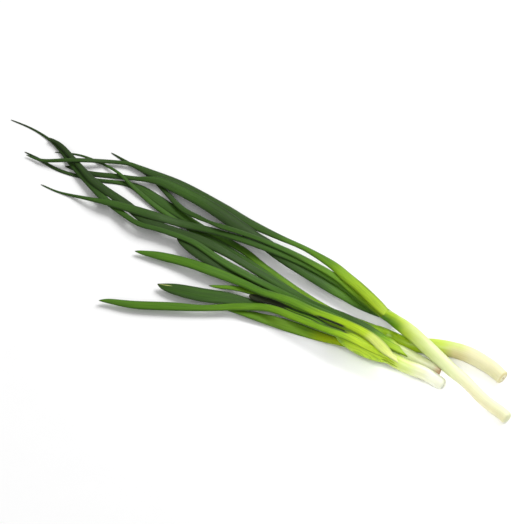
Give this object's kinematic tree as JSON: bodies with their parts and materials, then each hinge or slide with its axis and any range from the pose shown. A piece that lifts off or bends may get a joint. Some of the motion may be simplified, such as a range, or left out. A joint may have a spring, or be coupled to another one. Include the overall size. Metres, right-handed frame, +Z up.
{
  "type": "bunch of spring onions",
  "caption": "Loose bunch of slim spring onions lying on a surface, pale shanks at one end and long green leaves fanned out at the other.",
  "frame": {"origin": "middle of the bunch's box, on the surface that it lies on", "axes": "+X along the bunch towards the roots, +Y across it, +Z up"},
  "size_m": [0.4768, 0.1347, 0.0211],
  "materials": {
    "shank": "moist satin, pale yellow-green running to cream",
    "shank_white": "moist satin, nearly white",
    "leaf_light": "waxy satin, fine lengthwise veins",
    "leaf_dark": "waxy satin, fine lengthwise veins"
  },
  "bodies": {
    "root": {"stem_a": "shank", "stem_b": "shank", "stem_c": "shank_white", "stem_d": "shank", "leaf_a1": "leaf_light", "leaf_a2": "leaf_dark", "leaf_a3": "leaf_dark", "leaf_a4": "leaf_dark", "leaf_b1": "leaf_dark", "leaf_b2": "leaf_dark", "leaf_c1": "leaf_light", "leaf_c2": "leaf_light", "leaf_c3": "leaf_light", "leaf_c4": "leaf_dark", "leaf_c5": "leaf_light", "leaf_c6": "leaf_dark", "leaf_d1": "leaf_dark", "leaf_d2": "leaf_dark", "leaf_d3": "leaf_dark"}
  },
  "joints": []
}
